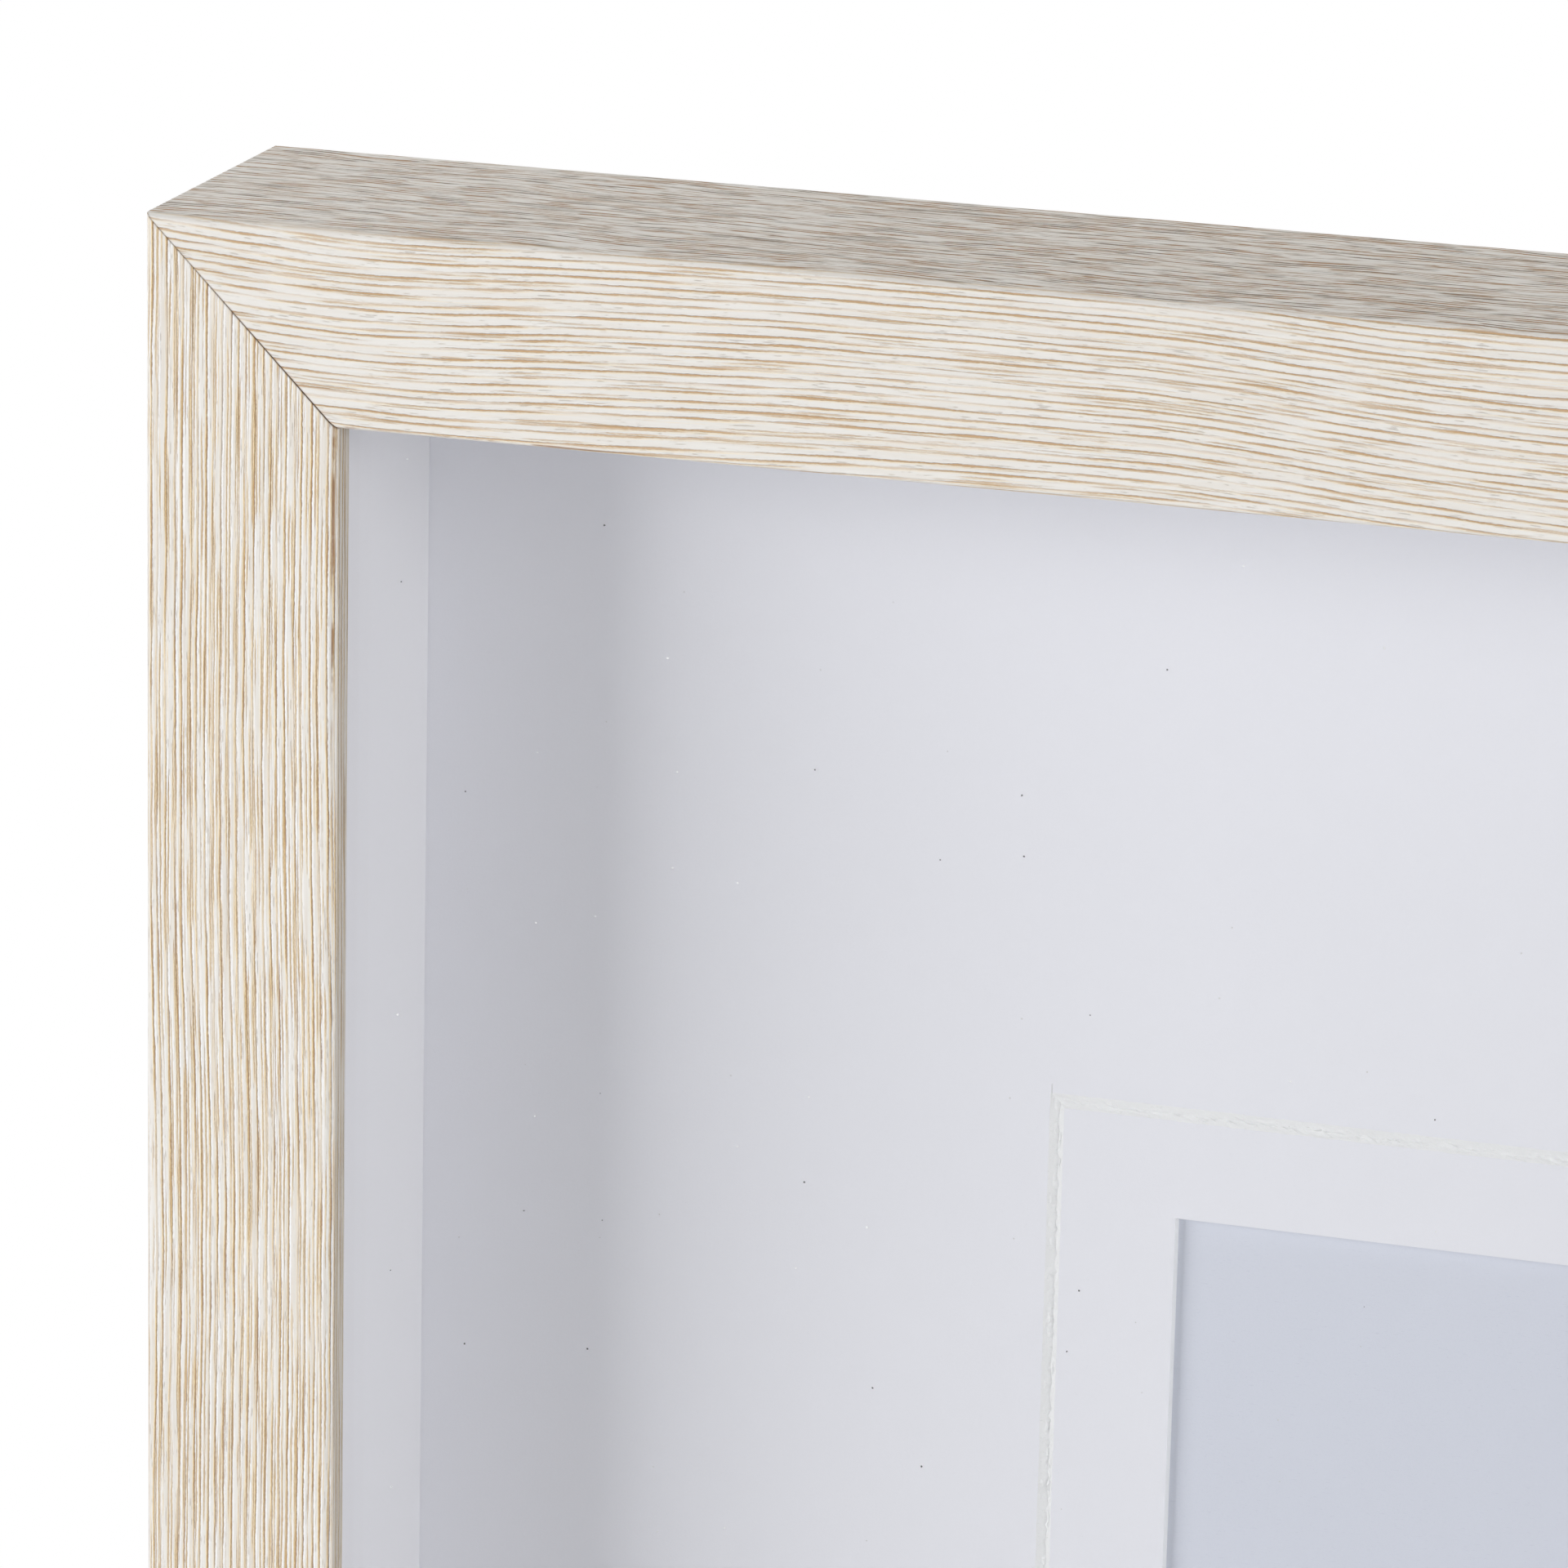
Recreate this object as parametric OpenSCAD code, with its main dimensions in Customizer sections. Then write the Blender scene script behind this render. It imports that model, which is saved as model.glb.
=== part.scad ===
// Shadow box: four mitred mouldings round a deep, glazed display space. Spacer strips
// hold the glass against the front lip. A grooved mat, an insert sheet and the back
// board lie behind them and lift out of the back, where turn buttons hold them in.
// Millimetres. X runs to the right as seen from the front, Y from the front to the
// back and Z up. The origin is the middle of the face that the frame stands on.

/* [Sheet format] */
// Width between the rebate walls, which is the nominal width of the sheets
format_w = 400; // [240:10:600]
// Height between the rebate walls, which is the nominal height of the sheets
format_h = 500; // [340:10:800]
// Gap between a sheet's edge and the rebate wall
sheet_play = 0.5; // [0.3:0.1:1.5]

/* [Moulding] */
// Width of the moulding's front face
face_w = 24; // [20:1:40]
// Depth of the moulding from its front face to its back
moulding_depth = 44; // [30:1:80]
// How far the front lip reaches over the edge of the glass
lip_reach = 5; // [4:0.5:7]
// Thickness of the front lip
lip_t = 4.6; // [3:0.2:8]
// Radius of the moulding's two front edges
edge_r = 1; // [0.4:0.1:2]
// Radius of the moulding's outer back edge
back_edge_r = 1.2; // [0.4:0.1:2]

/* [Glass, sheets and spacers] */
// Thickness of the glass
glass_t = 2; // [1.5:0.5:4]
// Thickness of the mat board
mat_t = 1.4; // [1:0.1:3]
// Thickness of the insert sheet behind the mat
insert_t = 0.3; // [0.2:0.1:1]
// Thickness of the back board
back_t = 3; // [2:0.5:6]
// How far the back board lies below the moulding's back
back_recess = 0.5; // [0.2:0.1:2]
// Thickness of the spacer strips
spacer_t = 3; // [1.5:0.5:4]
// Gap left at each end of a spacer strip
spacer_play = 0.2; // [0.1:0.1:0.5]

/* [Mat window] */
// Width of the window in the mat
window_w = 199; // [80:1:200]
// Height of the window in the mat
window_h = 292; // [120:1:300]
// Gap from the window's sides to the middle of the groove
groove_gap_side = 15.5; // [5:0.5:20]
// Gap from the window's top and bottom to the middle of the groove
groove_gap_end = 13.5; // [5:0.5:20]
// Width of the V-groove at the mat's face
groove_w = 1.8; // [1:0.1:3]
// Depth of the V-groove
groove_depth = 0.4; // [0.3:0.1:0.8]
// How far the knife ran on past each corner of the groove
groove_overcut = 0.8; // [0.2:0.1:2]

/* [Corner nails] */
// Length of each leg of a V-nail
v_nail_leg = 5; // [4:0.5:6]
// Thickness of a V-nail's steel
v_nail_t = 0.6; // [0.4:0.1:1]
// How deep a V-nail stands in the corner
v_nail_depth = 10; // [6:1:15]
// How far a V-nail is punched below the moulding's back
v_nail_sink = 0.4; // [0.2:0.1:1]
// How far the V-nails stay from the moulding's outer and inner sides
v_nail_inset = 3; // [2:0.5:4]

/* [Turn buttons] */
// How far a closed turn button reaches over the back board
button_bite = 9; // [5:0.5:15]
// Radius of the turn button's pivot end
button_pivot_r = 5; // [4:0.5:7]
// Radius of the turn button's free end
button_tip_r = 3.2; // [2:0.2:4]
// Thickness of the turn button's steel
button_t = 1; // [0.6:0.1:1.5]
// Gap between a turn button and the moulding's back
button_gap = 0.2; // [0.1:0.1:0.4]
// Width of the stiffening bead pressed along the turn button
bead_w = 2.4; // [1.6:0.2:3]
// How far the bead stands up from the turn button
bead_rise = 0.6; // [0.3:0.1:0.8]

/* [Screws and nails] */
// Radius of the screws that carry the turn buttons
screw_r = 1.5; // [1.2:0.1:1.8]
// How deep a screw's shank stands in the moulding
screw_l = 12; // [8:1:16]
// Radius of a screw's head
screw_head_r = 3.4; // [3:0.1:4]
// Height of a screw's head
screw_head_h = 1.8; // [1.4:0.1:2.2]
// Running clearance round a screw in its turn button
running_clear = 0.05; // [0.02:0.01:0.1]
// Clearance round a fastener in its pilot hole
pilot_clear = 0.02; // [0.01:0.01:0.05]
// Radius of the hanger nails
nail_r = 0.7; // [0.5:0.1:1]
// How deep a hanger nail stands in the moulding
nail_l = 10; // [6:1:14]
// Radius of a hanger nail's head
nail_head_r = 1.5; // [1.2:0.1:2]

/* [Hangers] */
// Length of a sawtooth hanger
hanger_l = 44; // [36:1:60]
// Width of a sawtooth hanger
hanger_w = 10; // [8:1:12]
// Thickness of a sawtooth hanger's steel
hanger_t = 0.9; // [0.6:0.1:1.2]
// How far the hanger's toothed middle stands off the moulding
hanger_rise = 1.8; // [1.2:0.1:3]
// Length of each flat foot of the hanger
hanger_foot = 7; // [6:0.5:10]
// Pitch of the hanger's teeth
tooth_pitch = 2.5; // [1.5:0.1:4]
// Depth of the hanger's teeth
tooth_depth = 1.6; // [0.8:0.1:2.4]

/* [Wall bumpers] */
// Radius of the bumpers that keep the frame off the wall
bumper_r = 5; // [3:0.5:6]
// Thickness of the bumpers
bumper_h = 3.6; // [3.4:0.2:6]
// Distance from the frame's side to the middle of a bumper
bumper_inset = 32; // [28:1:45]

/* [Hidden] */
$fn = 64;

// Outline of the whole frame, and the flat rim at its back.
rim_w = face_w - lip_reach;
rim_mid = rim_w / 2;
outer_w = format_w + 2 * rim_w;
outer_h = format_h + 2 * rim_w;
front_y = -moulding_depth / 2;
back_y = moulding_depth / 2;

// The stack behind the lip, from the glass to the back board.
sheet_w = format_w - 2 * sheet_play;
sheet_h = format_h - 2 * sheet_play;
glass_y = front_y + lip_t;
spacer_y = glass_y + glass_t;
back_board_y = back_y - back_recess - back_t;
insert_y = back_board_y - insert_t;
mat_y = insert_y - mat_t;
spacer_depth = mat_y - spacer_y;

// The groove's bottom line round the window, and the slits that the knife left.
groove_ring = [window_w + 2 * groove_gap_side, window_h + 2 * groove_gap_end];
slit_w = 0.2;
slit_depth = 0.3;

// Turn buttons sit at the quarter points of each side.
button_x_rail = format_w / 4;
button_x_stile = format_h / 4;
button_reach = rim_w - rim_mid + sheet_play + button_bite;
head_under = button_gap + button_t + 2 * running_clear;
bead_r = (pow(bead_w / 2, 2) + pow(bead_rise, 2)) / (2 * bead_rise);
screw_tip_l = 2.5;
screw_tip_r = 0.3;
head_edge = 0.5;
recess_w = 0.8;
recess_depth = 1;
hole_spare = 1;

// Hangers and bumpers.
hanger_ramp = 2.5;
hanger_corner_r = 2.5;
nail_head_h = 0.5;
nail_tip_l = 1.5;
bumper_chamfer = 0.8;

// Colours.
foil_white = [0.88, 0.86, 0.82];
strip_white = [0.82, 0.83, 0.85];
mat_white = [0.90, 0.90, 0.92];
insert_blue = [0.81, 0.82, 0.87];
board_brown = [0.47, 0.34, 0.22];
glass_tint = [0.80, 0.90, 0.90, 0.35];
zinc = [0.72, 0.73, 0.74];
brassed = [0.76, 0.62, 0.34];
rubber_grey = [0.25, 0.25, 0.26];

// ---- Placing ----

// Carries what is drawn on the bottom rail, with X along it and Z inwards, to a side.
module on_side(side) {
    if (side == "bottom")
        children();
    if (side == "top")
        translate([0, 0, outer_h]) mirror([0, 0, 1]) children();
    if (side == "left")
        translate([-outer_w / 2, 0, outer_h / 2]) rotate([0, 90, 0]) children();
    if (side == "right")
        translate([outer_w / 2, 0, outer_h / 2]) mirror([1, 0, 0]) rotate([0, 90, 0]) children();
}

// Stands what is drawn along +Z on the back rim of the bottom rail, x from its middle.
module on_rim(x) {
    translate([x, back_y, rim_mid]) rotate([-90, 0, 0]) children();
}

// Repeats what is drawn at the bottom left corner at all four corners.
module at_corners() {
    for (flip_x = [0, 1], flip_z = [0, 1])
        translate([(flip_x - 0.5) * outer_w, 0, flip_z * outer_h])
            mirror([flip_x, 0, 0]) mirror([0, 0, flip_z]) children();
}

// A flat sheet of the given size in the middle of the rebate, its front at y.
module sheet(w, h, y, t) {
    translate([-w / 2, y, (outer_h - h) / 2]) cube([w, t, h]);
}

// ---- Mouldings ----

// Section of the moulding: depth along X from the front, width along Y from outside.
module moulding_section() {
    straight_depth = moulding_depth - edge_r - back_edge_r;
    difference() {
        union() {
            translate([0, edge_r]) square([edge_r, face_w - 2 * edge_r]);
            translate([edge_r, 0]) square([straight_depth, face_w]);
            translate([edge_r, back_edge_r]) square([moulding_depth - edge_r, rim_w - back_edge_r]);
            translate([edge_r, edge_r]) circle(edge_r);
            translate([edge_r, face_w - edge_r]) circle(edge_r);
            translate([moulding_depth - back_edge_r, back_edge_r]) circle(back_edge_r);
        }
        translate([lip_t, rim_w]) square([moulding_depth, face_w]);
    }
}

// One side of the frame, length long at its outside, lying as the bottom rail.
module mitred_side(length) {
    intersection() {
        translate([-length / 2, front_y, 0])
            rotate([90, 0, 90]) linear_extrude(length) moulding_section();
        translate([0, back_y, 0]) rotate([90, 0, 0]) linear_extrude(moulding_depth)
            polygon([
                [-length / 2, 0], [length / 2, 0],
                [length / 2 - face_w, face_w], [-length / 2 + face_w, face_w]
            ]);
    }
}

// One side with its pilot holes and its half of the V-nail slots cut.
module drilled_side(length, button_x, nail_x) {
    difference() {
        mitred_side(length);
        for (x = [-button_x, button_x])
            on_rim(x) pilot_hole(screw_r, screw_l + screw_tip_l);
        for (x = nail_x)
            on_rim(x) pilot_hole(nail_r, nail_l + nail_tip_l);
        for (flip = [0, 1])
            mirror([flip, 0, 0]) translate([-length / 2, 0, 0]) corner_slots();
    }
}

module pilot_hole(r, depth) {
    translate([0, 0, -depth - hole_spare])
        cylinder(r = r + pilot_clear, h = depth + 2 * hole_spare);
}

module top_rail() {
    color(foil_white) on_side("top") drilled_side(outer_w, button_x_rail, nail_places());
}

module bottom_rail() {
    color(foil_white) on_side("bottom") drilled_side(outer_w, button_x_rail, []);
}

module left_stile() {
    color(foil_white) on_side("left") drilled_side(outer_h, button_x_stile, []);
}

module right_stile() {
    color(foil_white) on_side("right") drilled_side(outer_h, button_x_stile, nail_places());
}

// ---- Corner nails ----

// Section of a V-nail whose point is on the mitre line, grown by a clearance.
module v_nail_section(grow) {
    translate([-grow, -grow]) square([v_nail_leg + 2 * grow, v_nail_t + 2 * grow]);
    translate([-grow, -grow]) square([v_nail_t + 2 * grow, v_nail_leg + 2 * grow]);
}

// The two V-nails of the bottom left corner, reaching out of the back by spare.
module corner_v_nails(grow, spare) {
    for (inset = [v_nail_inset, rim_w - v_nail_inset / 2 - v_nail_leg])
        translate([inset, back_y - v_nail_sink + spare, inset])
            rotate([90, 0, 0]) linear_extrude(v_nail_depth + spare + grow) v_nail_section(grow);
}

module corner_slots() {
    corner_v_nails(pilot_clear, v_nail_sink + hole_spare);
}

module v_nails() {
    color(zinc) at_corners() corner_v_nails(0, 0);
}

// ---- Glass, spacers and sheets ----

module glazing() {
    color(glass_tint) sheet(sheet_w, sheet_h, glass_y, glass_t);
}

// A spacer strip of the given length, glued to the rebate wall of the bottom rail.
module spacer_strip(length) {
    translate([-length / 2, spacer_y, rim_w]) cube([length, spacer_depth, spacer_t]);
}

module long_spacer(side) {
    color(strip_white) on_side(side)
        spacer_strip(format_h - 2 * spacer_t - 2 * spacer_play);
}

module short_spacer(side) {
    color(strip_white) on_side(side) spacer_strip(format_w - 2 * spacer_play);
}

module spacer_top() {
    short_spacer("top");
}

module spacer_bottom() {
    short_spacer("bottom");
}

module spacer_left() {
    long_spacer("left");
}

module spacer_right() {
    long_spacer("right");
}

// Where a slope of the V-groove stands from the middle of the mat, at a depth below the
// mat's face. The lean is 1 for the outer slopes and -1 for the inner ones.
function groove_slope(ring, lean, depth) = ring / 2 + lean * (1 - depth / groove_depth) * groove_w / 2;

// A block between two opposite slopes, from spare in front of the face to spare past the
// groove's bottom. It is long enough to cross the whole mat.
module groove_wedge(ring, lean, spare) {
    corners = [[-1, -spare], [1, -spare], [1, groove_depth + spare], [-1, groove_depth + spare]];
    linear_extrude(2 * (sheet_w + sheet_h), center = true)
        polygon([for (corner = corners) [corner[0] * groove_slope(ring, lean, corner[1]), corner[1]]]);
}

// A block with all four slopes.
module groove_block(lean, spare) {
    intersection() {
        groove_wedge(groove_ring[0], lean, spare);
        rotate([0, 90, 0]) groove_wedge(groove_ring[1], lean, spare);
    }
}

// The slits that the knife left past the groove's corners, just inside its outer edge.
module groove_slits() {
    for (flip_x = [0, 1], flip_z = [0, 1])
        mirror([flip_x, 0, 0]) mirror([0, 0, flip_z])
            translate([(groove_ring[0] + groove_w - 3 * slit_w) / 2, -hole_spare, groove_ring[1] / 2])
                cube([slit_w, hole_spare + slit_depth, groove_w / 2 + groove_overcut]);
}

// The V-groove round the window, mitred at its corners, with its slits.
module groove_cut() {
    difference() {
        groove_block(1, groove_depth);
        groove_block(-1, 2 * groove_depth);
    }
    groove_slits();
}

module mat() {
    color(mat_white) difference() {
        sheet(sheet_w, sheet_h, mat_y, mat_t);
        sheet(window_w, window_h, mat_y - hole_spare, mat_t + 2 * hole_spare);
        translate([0, mat_y, outer_h / 2]) groove_cut();
    }
}

module insert_sheet() {
    color(insert_blue) sheet(sheet_w, sheet_h, insert_y, insert_t);
}

module back_board() {
    color(board_brown) sheet(sheet_w, sheet_h, back_board_y, back_t);
}

// ---- Turn buttons and their screws ----

// Teardrop outline: a large round at the pivot, a small one at the tip, and the two
// straight sides that touch both.
module button_outline() {
    tip_x = button_reach - button_tip_r;
    lean = asin((button_pivot_r - button_tip_r) / tip_x);
    circle(button_pivot_r);
    translate([tip_x, 0]) circle(button_tip_r);
    polygon([
        button_pivot_r * [sin(lean), cos(lean)],
        [tip_x, 0] + button_tip_r * [sin(lean), cos(lean)],
        [tip_x, 0] + button_tip_r * [sin(lean), -cos(lean)],
        button_pivot_r * [sin(lean), -cos(lean)]
    ]);
}

// The pressed bead: the cap of a long round bar, with round ends, on the plate's top.
module button_bead() {
    from_x = screw_head_r + bead_w;
    to_x = button_reach - button_tip_r;
    intersection() {
        translate([0, 0, button_t + bead_rise - bead_r]) {
            translate([from_x, 0, 0]) rotate([0, 90, 0]) cylinder(r = bead_r, h = to_x - from_x);
            translate([from_x, 0, 0]) sphere(bead_r);
            translate([to_x, 0, 0]) sphere(bead_r);
        }
        translate([0, -button_pivot_r, button_t / 2])
            cube([button_reach, 2 * button_pivot_r, button_t + bead_rise]);
    }
}

// One open turn button at x on a side, its arm pointing along X for turn 0.
module turn_button(side, x, turn) {
    color(zinc) on_side(side) on_rim(x) rotate([0, 0, turn]) translate([0, 0, button_gap])
        difference() {
            union() {
                linear_extrude(button_t) button_outline();
                button_bead();
            }
            translate([0, 0, -hole_spare])
                cylinder(r = screw_r + running_clear, h = button_t + 2 * hole_spare);
        }
}

// Pan-head screw with a cross recess, the moulding's back at its zero height.
module screw() {
    dome_h = screw_head_h - head_edge;
    dome_r = (pow(screw_head_r, 2) + pow(dome_h, 2)) / (2 * dome_h);
    translate([0, 0, -screw_l]) cylinder(r = screw_r, h = screw_l + head_under);
    translate([0, 0, -screw_l - screw_tip_l])
        cylinder(r1 = screw_tip_r, r2 = screw_r, h = screw_tip_l);
    translate([0, 0, head_under]) difference() {
        intersection() {
            cylinder(r = screw_head_r, h = screw_head_h);
            translate([0, 0, screw_head_h - dome_r]) sphere(dome_r);
        }
        for (turn = [0, 90])
            rotate([0, 0, turn])
                translate([-screw_head_r / 2, -recess_w / 2, screw_head_h - recess_depth])
                    cube([screw_head_r, recess_w, recess_depth]);
    }
}

module turn_button_screws() {
    color(brassed) {
        for (side = ["top", "bottom"], x = [-button_x_rail, button_x_rail])
            on_side(side) on_rim(x) screw();
        for (side = ["left", "right"], x = [-button_x_stile, button_x_stile])
            on_side(side) on_rim(x) screw();
    }
}

module turn_button_top_left() {
    turn_button("top", -button_x_rail, 0);
}

module turn_button_top_right() {
    turn_button("top", button_x_rail, 180);
}

module turn_button_bottom_left() {
    turn_button("bottom", -button_x_rail, 0);
}

module turn_button_bottom_right() {
    turn_button("bottom", button_x_rail, 180);
}

module turn_button_left_upper() {
    turn_button("left", -button_x_stile, 0);
}

module turn_button_left_lower() {
    turn_button("left", button_x_stile, 0);
}

module turn_button_right_upper() {
    turn_button("right", -button_x_stile, 0);
}

module turn_button_right_lower() {
    turn_button("right", button_x_stile, 0);
}

// ---- Hangers ----

// Where the two nails of a hanger stand, from the middle of its side.
function nail_places() = [hanger_foot / 2 - hanger_l / 2, hanger_l / 2 - hanger_foot / 2];

// Outline of the flat blank, with rounded corners.
module hanger_blank() {
    r = hanger_corner_r;
    square([hanger_l - 2 * r, hanger_w], center = true);
    square([hanger_l, hanger_w - 2 * r], center = true);
    for (x = [-1, 1], y = [-1, 1])
        translate([x * (hanger_l / 2 - r), y * (hanger_w / 2 - r)]) circle(r);
}

// The strip seen from its edge: two feet, two ramps and the raised middle.
module hanger_bends() {
    foot_x = hanger_l / 2 - hanger_foot;
    top_x = foot_x - hanger_ramp;
    polygon([
        [-hanger_l / 2, 0], [-foot_x, 0], [-top_x, hanger_rise],
        [top_x, hanger_rise], [foot_x, 0], [hanger_l / 2, 0],
        [hanger_l / 2, hanger_t], [foot_x, hanger_t], [top_x, hanger_rise + hanger_t],
        [-top_x, hanger_rise + hanger_t], [-foot_x, hanger_t], [-hanger_l / 2, hanger_t]
    ]);
}

// Sawtooth hanger on the middle of a side, its teeth towards the middle of the frame.
module sawtooth_hanger(side) {
    top_x = hanger_l / 2 - hanger_foot - hanger_ramp;
    teeth = 2 * floor(top_x / tooth_pitch - 0.5) + 1;
    height = hanger_rise + hanger_t;
    color(brassed) on_side(side) on_rim(0) difference() {
        intersection() {
            translate([0, hanger_w / 2, 0]) rotate([90, 0, 0]) linear_extrude(hanger_w) hanger_bends();
            linear_extrude(height) hanger_blank();
        }
        for (i = [0 : teeth - 1])
            translate([(i - (teeth - 1) / 2) * tooth_pitch, -hanger_w / 2, 0])
                linear_extrude(height + hole_spare)
                    polygon([[-tooth_pitch / 2, 0], [tooth_pitch / 2, 0], [0, tooth_depth]]);
        for (x = nail_places())
            translate([x, 0, -hole_spare])
                cylinder(r = nail_r + pilot_clear, h = hanger_t + 2 * hole_spare);
    }
}

module hanger_nail() {
    translate([0, 0, -nail_l]) cylinder(r = nail_r, h = nail_l + hanger_t);
    translate([0, 0, -nail_l - nail_tip_l]) cylinder(r1 = nail_r / 4, r2 = nail_r, h = nail_tip_l);
    translate([0, 0, hanger_t]) cylinder(r = nail_head_r, h = nail_head_h);
}

module hanger_top() {
    sawtooth_hanger("top");
}

module hanger_side() {
    sawtooth_hanger("right");
}

module hanger_nails() {
    color(brassed) for (side = ["top", "right"], x = nail_places())
        on_side(side) on_rim(x) hanger_nail();
}

// ---- Wall bumpers ----

module wall_bumpers() {
    color(rubber_grey) for (x = [bumper_inset - outer_w / 2, outer_w / 2 - bumper_inset])
        on_rim(x) {
            cylinder(r = bumper_r, h = bumper_h - bumper_chamfer);
            translate([0, 0, bumper_h - bumper_chamfer])
                cylinder(r1 = bumper_r, r2 = bumper_r - bumper_chamfer, h = bumper_chamfer);
        }
}

top_rail();
bottom_rail();
left_stile();
right_stile();
v_nails();
glazing();
spacer_top();
spacer_bottom();
spacer_left();
spacer_right();
mat();
insert_sheet();
back_board();
turn_button_top_left();
turn_button_top_right();
turn_button_bottom_left();
turn_button_bottom_right();
turn_button_left_upper();
turn_button_left_lower();
turn_button_right_upper();
turn_button_right_lower();
turn_button_screws();
hanger_top();
hanger_side();
hanger_nails();
wall_bumpers();
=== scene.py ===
"""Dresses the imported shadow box: grain-foil mouldings, glass, spacers, mat and back hardware."""
import logging
import math
from dataclasses import dataclass
from enum import Enum
from typing import Any, Iterable, Sequence, Union

import bmesh
import bpy
from mathutils import Matrix, Vector, noise


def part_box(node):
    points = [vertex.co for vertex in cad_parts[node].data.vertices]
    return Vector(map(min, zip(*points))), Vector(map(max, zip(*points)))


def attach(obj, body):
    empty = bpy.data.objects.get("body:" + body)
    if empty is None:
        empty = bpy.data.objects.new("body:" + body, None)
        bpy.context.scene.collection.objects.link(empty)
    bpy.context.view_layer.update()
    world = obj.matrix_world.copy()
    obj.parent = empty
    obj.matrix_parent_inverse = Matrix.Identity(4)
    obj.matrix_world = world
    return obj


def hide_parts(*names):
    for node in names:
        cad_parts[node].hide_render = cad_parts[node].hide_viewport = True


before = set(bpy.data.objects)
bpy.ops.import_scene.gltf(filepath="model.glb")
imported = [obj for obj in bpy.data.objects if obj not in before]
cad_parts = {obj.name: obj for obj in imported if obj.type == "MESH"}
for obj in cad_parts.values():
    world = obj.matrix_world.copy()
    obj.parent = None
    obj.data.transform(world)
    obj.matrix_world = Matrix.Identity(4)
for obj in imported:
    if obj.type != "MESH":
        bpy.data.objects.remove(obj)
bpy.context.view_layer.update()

LOG = logging.getLogger("shadow_box")
MM = 0.001
WELD = 0.002 * MM
Rgb = tuple[float, float, float]


# ---- Shader expressions ----


class Value:
    """A number that varies over a surface. Arithmetic on it adds Math nodes."""

    def __init__(self, shader: "Shader", socket: bpy.types.NodeSocket) -> None:
        """Wraps one output socket of the shader's tree."""
        self.shader = shader
        self.socket = socket

    def _math(self, operation: str, *numbers: "Number") -> "Value":
        """Adds a Math node with the given numbers as its inputs, in order."""
        sockets = dict(enumerate(numbers))
        made = self.shader.node("Math", {"operation": operation}, sockets)
        return Value(self.shader, made.outputs[0])

    def __add__(self, other: "Number") -> "Value":
        """Sum."""
        return self._math("ADD", self, other)

    def __radd__(self, other: "Number") -> "Value":
        """Sum, from the right."""
        return self._math("ADD", other, self)

    def __sub__(self, other: "Number") -> "Value":
        """Difference."""
        return self._math("SUBTRACT", self, other)

    def __rsub__(self, other: "Number") -> "Value":
        """Difference, from the right."""
        return self._math("SUBTRACT", other, self)

    def __mul__(self, other: "Number") -> "Value":
        """Product."""
        return self._math("MULTIPLY", self, other)

    def __rmul__(self, other: "Number") -> "Value":
        """Product, from the right."""
        return self._math("MULTIPLY", other, self)

    def __truediv__(self, other: "Number") -> "Value":
        """Quotient."""
        return self._math("DIVIDE", self, other)

    def __rtruediv__(self, other: "Number") -> "Value":
        """Quotient, from the right."""
        return self._math("DIVIDE", other, self)

    def __abs__(self) -> "Value":
        """Size without its sign."""
        return self._math("ABSOLUTE", self)

    def floor(self) -> "Value":
        """The whole number at or below it."""
        return self._math("FLOOR", self)

    def root(self) -> "Value":
        """Square root."""
        return self._math("SQRT", self)

    def most(self, other: "Number") -> "Value":
        """The larger of the two."""
        return self._math("MAXIMUM", self, other)

    def rise(self, low: float, high: float) -> "Value":
        """0 below low, 1 above high and a smooth rise between them."""
        settings = {"interpolation_type": "SMOOTHSTEP"}
        sockets = {"Value": self, "From Min": low, "From Max": high}
        return Value(self.shader, self.shader.node("MapRange", settings, sockets).outputs[0])

    def fall(self, low: float, high: float) -> "Value":
        """1 below low, 0 above high and a smooth fall between them."""
        return 1 - self.rise(low, high)


Number = Union[float, Value]
Colour = Union[Rgb, bpy.types.NodeSocket]


def linear(paint: Rgb) -> tuple[float, float, float, float]:
    """Turns a colour written as three numbers up to 255 into the shader's linear colour."""
    parts = [c / 255 for c in paint]
    flat = [c / 12.92 if c <= 0.04045 else ((c + 0.055) / 1.055) ** 2.4 for c in parts]
    return (flat[0], flat[1], flat[2], 1.0)


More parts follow.
